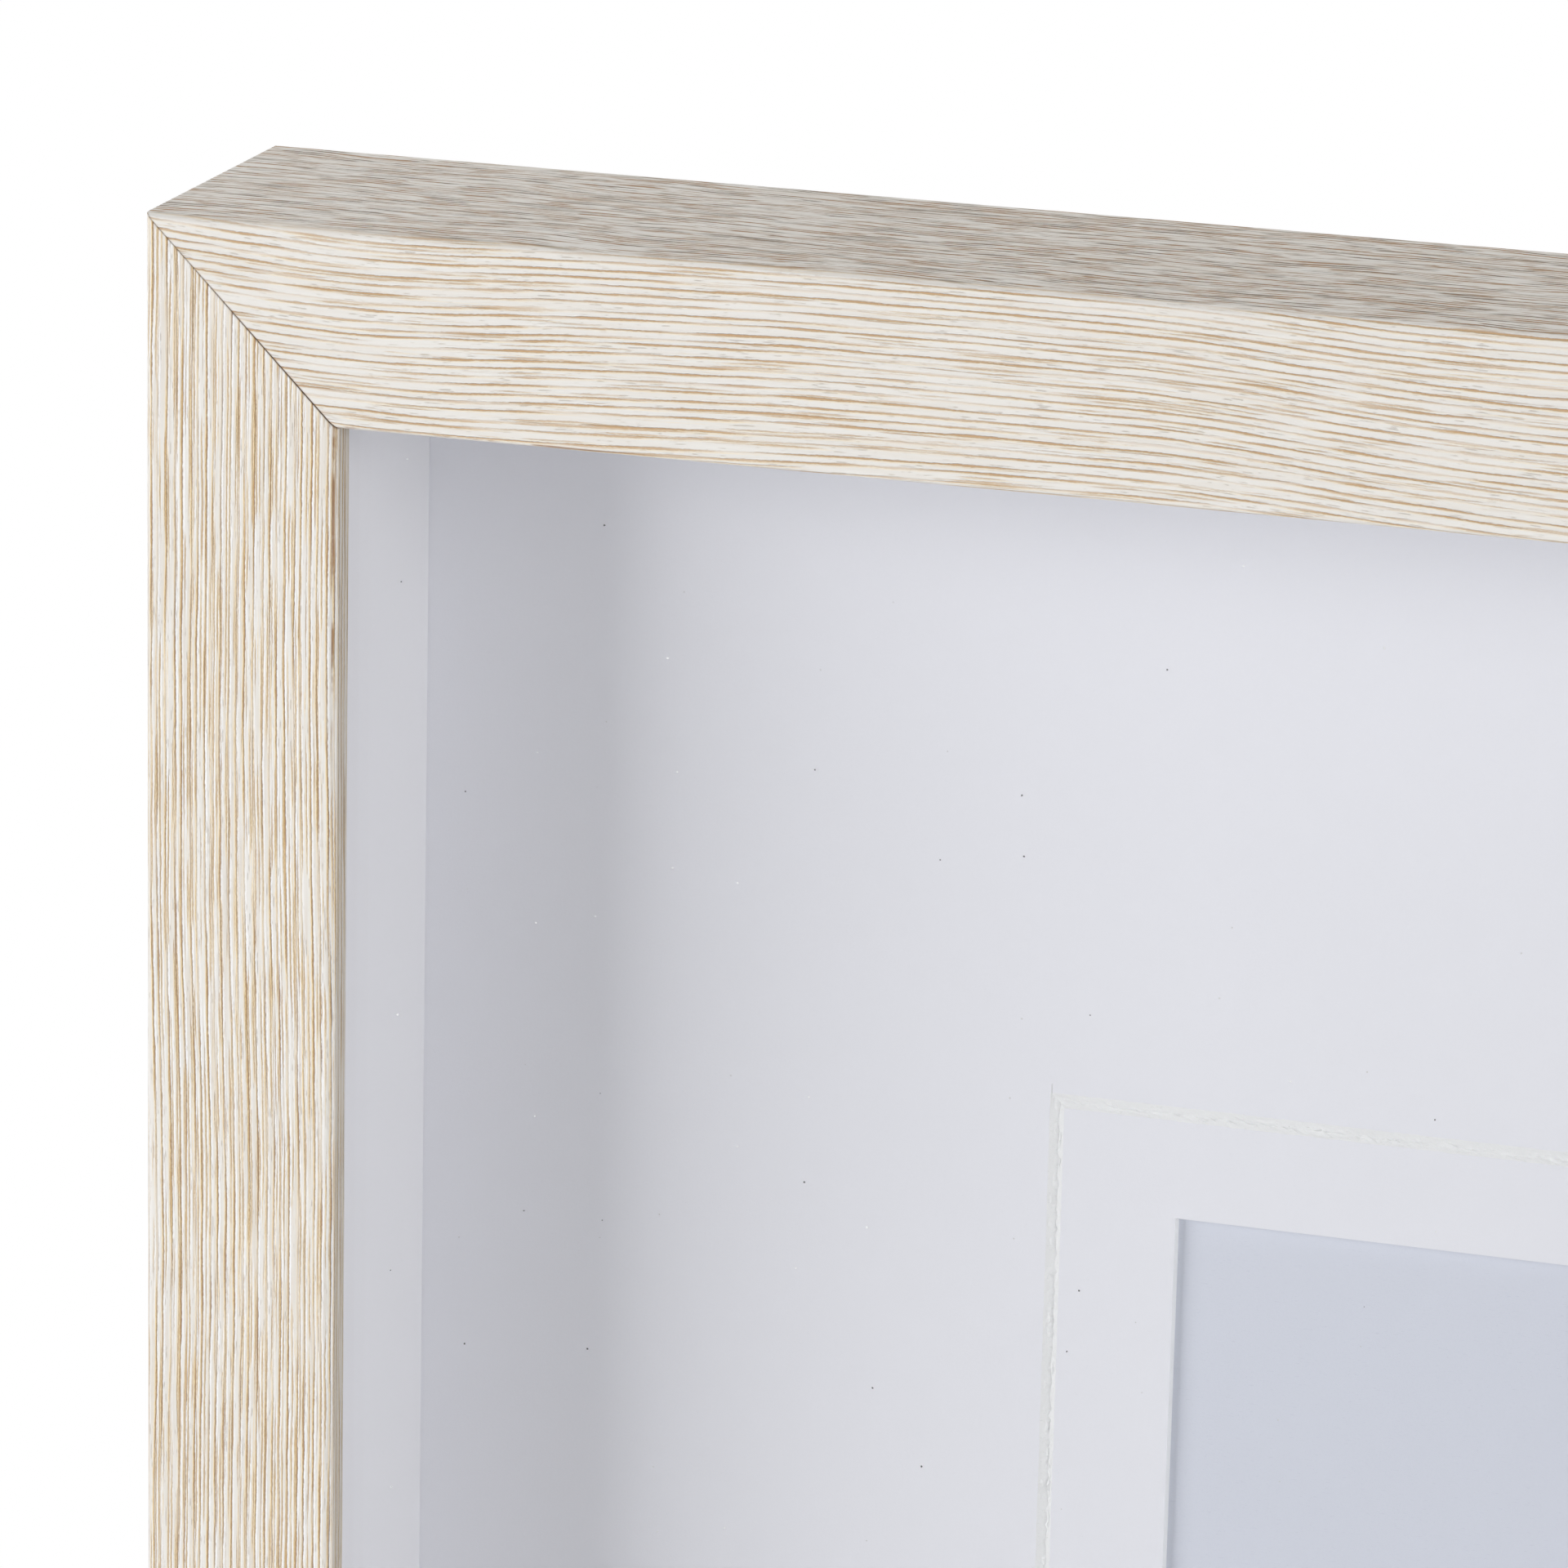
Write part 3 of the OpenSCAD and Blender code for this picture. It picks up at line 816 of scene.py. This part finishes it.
@dataclass
class Mouldings:
    """The four mitred sides, wrapped in foil on a fibreboard core.

    The way round the two front arcs is arc_saving radii shorter than the face is wide.
    """

    m: Measures
    edge_r: float = 1.0 * MM
    arc_saving: float = 0.43
    back_edge_r: float = 1.2 * MM
    foil_turn: float = 2.6 * MM
    mitre_ease: float = 0.11 * MM
    v_nail_t: float = 0.6 * MM
    v_nail_leg: float = 5.0 * MM
    v_nail_insets: tuple[float, float] = (3.0 * MM, 1.5 * MM)
    slot_spare: float = 1.0 * MM
    foil_stretch: float = 700.0
    arc_steps: int = 8

    def profile(self) -> list[tuple[Vector, float, int]]:
        """The section of a side.

        Returns:
            Points (across, depth) from the foil's end on the back rim, over the outer side, the
            front and the lip, to the raw rebate and rim; how far each lies round the foil from
            the outer front edge; and 0 for foil or 1 for raw board on the stretch that follows.
        """
        m, r, b = self.m, self.edge_r, self.back_edge_r
        turn = [Vector((b + self.foil_turn, m.depth))]
        turn += arc((b, m.depth - b), b, 90, 90, self.arc_steps)
        front = arc((r, r), r, 180, 90, self.arc_steps)
        sight = arc((m.face_w - r, r), r, 270, 90, self.arc_steps)
        foil = turn + front + sight + [Vector((m.face_w, m.lip_t))]
        raw = [Vector((m.rim_w, m.lip_t)), Vector((m.rim_w, m.depth))]
        middle = len(turn) + self.arc_steps // 2
        reach = [0.0]
        for here, after in zip(foil, foil[1:]):
            reach.append(reach[-1] + (after - here).length)
        points = [(p, reach[i] - reach[middle], 0) for i, p in enumerate(foil)]
        points[-1] = (points[-1][0], points[-1][1], 1)
        return points + [(p, points[-1][1], 1) for p in raw]

    def inset(self, points: list[Vector], by: float) -> list[Vector]:
        """The section's outline moved inwards by a small width."""
        moved = []
        for number, point in enumerate(points):
            before = (point - points[number - 1]).normalized()
            after = (points[(number + 1) % len(points)] - point).normalized()
            lean = (before + after).normalized()
            inward = Vector((-lean.y, lean.x))
            moved.append(point + inward * (by / max(0.5, lean.dot(after))))
        return moved

    def shape(self, side: Side, member: int) -> bmesh.types.BMesh:
        """Sweeps the section along a side between its two mitres.

        Args:
            side: Which side it is.
            member: The side's own number, which sets its stretch of foil.

        Returns:
            The shape in its place, with its grain and cut attributes.
        """
        points = self.profile()
        outline = [p for p, _, _ in points]
        eased = self.inset(outline, self.mitre_ease)
        half = side.length(self.m) / 2
        rings = [(-1, eased, 0.0, 1.0), (-1, outline, self.mitre_ease, 0.0)]
        rings += [(1, outline, self.mitre_ease, 0.0), (1, eased, 0.0, 1.0)]
        shape = bmesh.new()
        grain = shape.loops.layers.float_vector.new("grain")
        cut = shape.loops.layers.float_vector.new("cut")
        marks = {}
        made = []
        for end, ring, short, share in rings:
            row = []
            for (across, depth), (_, reach, _) in zip(ring, points):
                along = end * (half - across - short)
                vert = shape.verts.new((along, across, depth))
                marks[vert] = (
                    Vector((along / MM + member * self.foil_stretch, reach / MM, member)),
                    Vector((share, along / MM, (half - across) / MM)),
                )
                row.append(vert)
            made.append(row)
        for row, after in zip(made, made[1:]):
            for number in range(len(points)):
                follow = (number + 1) % len(points)
                face = shape.faces.new((row[number], row[follow], after[follow], after[number]))
                face.material_index = points[number][2]
        for row in (made[0], made[-1]):
            shape.faces.new(row).material_index = 1
        for face in shape.faces:
            for loop in face.loops:
                loop[grain], loop[cut] = marks[loop.vert]
        shape.transform(side.placing(self.m))
        bmesh.ops.recalc_face_normals(shape, faces=shape.faces)
        return shape

    def slots(self) -> bmesh.types.BMesh:
        """Makes the tool for the V-nail slots.

        Returns:
            Solid bars in the mitres of the back rim.
        """
        shape = bmesh.new()
        low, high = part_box("v_nails")
        size = (self.v_nail_t, high.y - low.y + self.slot_spare, self.v_nail_leg)
        outer, inner = self.v_nail_insets
        insets = (outer, self.m.rim_w - inner - self.v_nail_leg)
        for flip_x in (-1, 1):
            for flip_z in (-1, 1):
                for inset in insets:
                    for legs in (size, (size[2], size[1], size[0])):
                        corner = Vector((
                            flip_x * (self.m.outer_w / 2 - inset - legs[0] / 2),
                            low.y + legs[1] / 2,
                            self.m.outer_h / 2 + flip_z * (self.m.outer_h / 2 - inset - legs[2] / 2),
                        ))
                        put = Matrix.Translation(corner) @ Matrix.Diagonal((*legs, 1))
                        bmesh.ops.create_cube(shape, size=1, matrix=put)
        return shape

    def build(self, foil: GrainFoil, core: PressedFibre) -> list[bpy.types.Object]:
        """Builds and dresses the four sides.

        Args:
            foil: The finish of the wrapped faces.
            core: The finish of the rebate, the rim and the cuts.

        Returns:
            The four pieces.
        """
        wrapped = foil.material((self.m.face_w - self.arc_saving * self.edge_r) / MM)
        raw = core.material()
        pieces = []
        for member, side in enumerate(Side):
            piece = mesh_piece(side.value + "_foiled", self.shape(side, member), (wrapped, raw))
            cut_out(piece, mesh_piece("slots", self.slots(), (raw,)))
            even_shading(piece)
            lay_down(piece, "frame", side.value)
            pieces.append(piece)
        return pieces


@dataclass
class Glazing:
    """The glass sheet and the four spacer strips that hold it against the lip."""

    strip_ease: float = 0.15 * MM

    def build(self, glass: ClearGlass, strip: Paper) -> None:
        """Dresses the glass and the strips."""
        dress("glazing", glass.material())
        paper = strip.material()
        for side in ("top", "bottom", "left", "right"):
            ease_edges(dress("spacer_" + side, paper), self.strip_ease)


@dataclass
class WindowMat:
    """The mat: its window and the V-groove round it, with the torn fibres that the knife left."""

    window: tuple[float, float] = (199.0 * MM, 292.0 * MM)
    groove_gap: tuple[float, float] = (15.5 * MM, 13.5 * MM)
    groove_w: float = 1.8 * MM
    groove_depth: float = 0.4 * MM
    lean: float = 0.15 * MM
    slit_w: float = 0.12 * MM
    slit_depth: float = 0.1 * MM
    slit_run: float = 1.1 * MM
    slit_inset: float = 0.18 * MM
    step: float = 0.5 * MM
    tear: float = 0.12 * MM
    skew: float = 0.24 * MM
    stray: float = 0.3 * MM
    stray_run: float = 0.9 * MM
    flake: float = 0.75 * MM
    flake_run: float = 1.6 * MM
    flake_level: float = 0.12
    rows: int = 8

    def corners(self, half: tuple[float, float]) -> list[Vector]:
        """Corners of a rectangle about the middle, from its half sizes."""
        return [Vector((x * half[0], z * half[1])) for x, z in ((-1, 1), (1, 1), (1, -1), (-1, -1))]

    def torn(self, share: float, side: int, run: float) -> tuple[float, float]:
        """How the board tore at a place in the groove.

        Args:
            share: Where it lies across the groove, from -1 at its outer edge to 1 at its inner one.
            side: Which side of the groove it is on.
            run: How far it lies along that side, in metres.

        Returns:
            How far the place strays inwards, and how far its fibres stand up.
        """
        place = Vector((run / self.stray_run, share * 1.3, side * 9.0))
        deep = 1 - abs(share)
        stray = (noise.noise(place) + noise.noise(place * 2.7) * 0.6) * self.stray * (0.25 + deep)
        lift = noise.noise(Vector((run / self.flake_run, share * 2.2, side * 5.0 + 30)))
        flake = max(0.0, lift - self.flake_level) * self.flake * deep
        return stray, flake - self.tear * deep

    def ring(self) -> list[float]:
        """Half the groove's sizes, across and up, along its middle."""
        return [w / 2 + gap for w, gap in zip(self.window, self.groove_gap)]

    def counts(self) -> list[int]:
        """How many points each side of the groove has."""
        return [round(2 * self.ring()[side % 2] / self.step) for side in range(4)]

    def groove_rows(self) -> list[list[tuple[Vector, float]]]:
        """Draws the groove.

        Returns:
            Rows of points round it, from its outer edge to its inner one, each with its depth.
        """
        rows = []
        for number in range(self.rows + 1):
            share = 2 * number / self.rows - 1
            shift = share * self.groove_w / 2 + self.skew * (1 - abs(share))
            corners = self.corners(tuple(half - shift for half in self.ring()))
            row = []
            for side, count in enumerate(self.counts()):
                here, after = corners[side], corners[(side + 1) % 4]
                inwards = Vector(((after - here).y, -(after - here).x)).normalized()
                for at in range(count):
                    run = (after - here).length * at / count
                    stray, lift = self.torn(share, side, run) if at else (0.0, 0.0)
                    depth = max(0.0, self.groove_depth * (1 - abs(share)) - lift)
                    row.append((here + (after - here) * (at / count) + inwards * stray, depth))
            rows.append(row)
        return rows

    def shape(self) -> bmesh.types.BMesh:
        """Builds the mat.

        Returns:
            The shape in its place, with paper faces and the bare core in the groove and the cuts.
        """
        low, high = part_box("mat")
        middle = Vector((0, 0, (low.z + high.z) / 2))
        thick = high.y - low.y
        shape = bmesh.new()

        def verts(points: Iterable[tuple[Vector, float]]) -> list[bmesh.types.BMVert]:
            """Adds points, given across the mat and by their depth behind its face."""
            return [shape.verts.new(middle + Vector((p.x, low.y + depth, p.y))) for p, depth in points]

        def band(outer: list[bmesh.types.BMVert], inner: list[bmesh.types.BMVert], finish: int) -> None:
            """Joins two rings of equally many points."""
            for number, vert in enumerate(outer):
                follow = (number + 1) % len(outer)
                face = shape.faces.new((vert, outer[follow], inner[follow], inner[number]))
                face.material_index = finish

        half = ((high.x - low.x) / 2, (high.z - low.z) / 2)
        opening = [w / 2 for w in self.window]
        edge = [verts((p, depth) for p in self.corners(half)) for depth in (0.0, thick)]
        front = self.corners(tuple(w + self.lean for w in opening))
        window = [verts((p, 0.0) for p in front), verts((p, thick) for p in self.corners(tuple(opening)))]
        rows = [verts(row) for row in self.groove_rows()]
        for here, after in zip(rows, rows[1:]):
            band(here, after, 1)
        band(edge[0], edge[1], 1)
        band(window[0], window[1], 1)
        band(edge[1], window[1], 0)
        for border, row in ((edge[0], rows[0]), (window[0], rows[-1])):
            start = 0
            for side, count in enumerate(self.counts()):
                stretch = [row[i % len(row)] for i in range(start, start + count + 1)]
                shape.faces.new([border[side]] + stretch + [border[(side + 1) % 4]])
                start += count
        bmesh.ops.recalc_face_normals(shape, faces=shape.faces)
        return shape

    def slits(self) -> bmesh.types.BMesh:
        """Thin bars where the knife ran on past the groove's corners."""
        low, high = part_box("mat")
        size = (self.slit_w, 2 * self.slit_depth, 2 * self.slit_run, 1)
        x, z = (half + self.groove_w / 2 for half in self.ring())
        x -= self.slit_inset
        shape = bmesh.new()
        for flip_x in (-1, 1):
            for flip_z in (-1, 1):
                place = Vector((flip_x * x, low.y, (low.z + high.z) / 2 + flip_z * z))
                put = Matrix.Translation(place) @ Matrix.Diagonal(size)
                bmesh.ops.create_cube(shape, size=1, matrix=put)
        return shape

    def build(self, paper: Paper, core: Paper) -> None:
        """Builds and dresses the mat."""
        bare = core.material()
        piece = mesh_piece("mat_grooved", self.shape(), (paper.material(), bare))
        cut_out(piece, mesh_piece("slits", self.slits(), (bare,)))
        lay_down(piece, "back_stack", "mat")


@dataclass
class BackStack:
    """The insert sheet and the back board, which lift out of the back together with the mat."""

    insert: Paper = INSERT_PAPER
    board: PressedFibre = HARDBOARD

    def build(self) -> None:
        """Dresses the sheets."""
        dress("insert_sheet", self.insert.material())
        dress("back_board", self.board.material())


@dataclass
class BackHardware:
    """Turn buttons, screws, hangers, nails and bumpers on the back rim."""

    plate_ease: float = 0.18 * MM
    head_ease: float = 0.12 * MM
    rubber_ease: float = 0.3 * MM

    def build(self) -> None:
        """Dresses every fitting."""
        zinc, brassed = ZINC.material(), BRASSED.material()
        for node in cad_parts:
            if node.startswith("turn_button_") and node != "turn_button_screws":
                ease_edges(dress(node, zinc), self.plate_ease)
        for node in ("hanger_top", "hanger_side", "turn_button_screws", "hanger_nails"):
            ease_edges(dress(node, brassed), self.head_ease)
        dress("v_nails", STEEL.material())
        ease_edges(dress("wall_bumpers", SoftRubber().material()), self.rubber_ease)


# ---- Studio ----


@dataclass(frozen=True)
class Lamp:
    """A softbox."""

    name: str
    place: tuple[float, float, float]
    size: tuple[float, float]
    power: float
    aim: tuple[float, float, float]

    def build(self) -> None:
        """Sets the softbox up and turns it to its aim."""
        data = bpy.data.lights.new(self.name, "AREA")
        data.shape = "RECTANGLE"
        data.size, data.size_y = self.size
        data.energy = self.power
        lamp = bpy.data.objects.new(self.name, data)
        lamp.location = self.place
        direction = Vector(self.aim) - Vector(self.place)
        lamp.rotation_euler = direction.to_track_quat("-Z", "Y").to_euler()
        bpy.context.scene.collection.objects.link(lamp)


@dataclass
class Studio:
    """Camera, lamps, floor and the white surroundings."""

    m: Measures
    camera_off_corner: tuple[float, float, float] = (0.335, -0.842, 0.191)
    azimuth: float = 16.85
    elevation: float = 16.01
    roll: float = 1.27
    focal: float = 180.0
    sensor: float = 36.0
    clip: tuple[float, float] = (0.05, 30.0)
    floor_r: float = 4.0
    floor_fade: tuple[float, float] = (300.0, 900.0)
    ambient: float = 0.07
    floor_white: Rgb = (232, 232, 232)

    def camera(self) -> None:
        """Stands the camera in front of the top left corner, to the right and above it."""
        data = bpy.data.cameras.new("camera")
        data.lens, data.sensor_width = self.focal, self.sensor
        data.clip_start, data.clip_end = self.clip
        turn, tilt, roll = (math.radians(a) for a in (self.azimuth, self.elevation, self.roll))
        ahead = Vector((-math.sin(turn) * math.cos(tilt), math.cos(turn) * math.cos(tilt), -math.sin(tilt)))
        right = Vector((math.cos(turn), math.sin(turn), 0))
        up = right.cross(ahead)
        side, rise = math.cos(roll), math.sin(roll)
        right, up = side * right + rise * up, side * up - rise * right
        corner = Vector((-self.m.outer_w / 2, self.m.front, self.m.outer_h))
        camera = bpy.data.objects.new("camera", data)
        camera.matrix_world = placed(right, up, -ahead, corner + Vector(self.camera_off_corner))
        bpy.context.scene.collection.objects.link(camera)
        bpy.context.scene.camera = camera

    def seen(self, s: Shader) -> Value:
        """1 for rays from the camera, straight or by a mirror or glass, and 0 for light."""
        path = s.node("LightPath", {}, {})
        kinds = ("Camera", "Glossy", "Transmission")
        straight, glossy, through = (Value(s, path.outputs[f"Is {kind} Ray"]) for kind in kinds)
        return straight.most(glossy).most(through)

    def surroundings(self) -> None:
        """Makes the world a plain white that lights the object softly."""
        world = bpy.data.worlds.new("studio")
        bpy.context.scene.world = world
        s = Shader(world)
        strength = self.seen(s) * (1 - self.ambient) + self.ambient
        light = s.node("Background", {}, {"Color": (1, 1, 1, 1), "Strength": strength})
        s.node("OutputWorld", {}, {"Surface": light.outputs[0]})

    def floor(self) -> None:
        """Lays a round pale floor that turns white away from the object."""
        s = new_shader("studio_floor")
        x, y, _ = s.place()
        away = (x * x + y * y).root()
        cloth = s.node("BsdfDiffuse", {}, {"Color": linear(self.floor_white)})
        white = s.node("Emission", {}, {"Color": (1, 1, 1, 1)})
        share = self.seen(s) * (0.5 + away.rise(*self.floor_fade) * 0.5)
        sockets = {0: share, 1: cloth.outputs[0], 2: white.outputs[0]}
        material = s.finish(s.node("MixShader", {}, sockets))
        shape = bmesh.new()
        bmesh.ops.create_circle(shape, cap_ends=True, segments=96, radius=self.floor_r)
        mesh_piece("studio_floor", shape, (material,))

    def lamps(self) -> None:
        """Sets up the softboxes."""
        aim = (-0.15, 0.0, self.m.outer_h * 0.8)
        rear = (0.0, 0.0, self.m.outer_h / 2)
        Lamp("key", (-1.62, -1.27, 0.82), (1.35, 0.8), 30.2, aim).build()
        Lamp("fill", (1.61, -1.06, 0.82), (0.9, 1.0), 20.0, aim).build()
        Lamp("over", (0.3, 0.6, 1.75), (1.4, 0.8), 9.6, (0.1, 0, self.m.outer_h)).build()
        Lamp("rear_left", (-1.2, 1.6, 0.7), (1.0, 1.0), 14.0, rear).build()
        Lamp("rear_right", (1.2, 1.6, 0.7), (1.0, 1.0), 14.0, rear).build()

    def build(self) -> None:
        """Builds the whole studio."""
        bpy.context.scene.view_settings.view_transform = "Standard"
        self.camera()
        self.surroundings()
        self.floor()
        self.lamps()
        LOG.info("studio ready")


def main() -> None:
    """Builds the studio and dresses the frame, from the mouldings to the back."""
    logging.basicConfig(level=logging.INFO, format="%(name)s: %(message)s")
    m = Measures.of_frame()
    Studio(m).build()
    Mouldings(m).build(GrainFoil(), RAW_EDGE)
    Glazing().build(ClearGlass(), STRIP_PAPER)
    WindowMat().build(MAT_PAPER, MAT_CORE)
    BackStack().build()
    BackHardware().build()


if __name__ == "__main__":
    main()
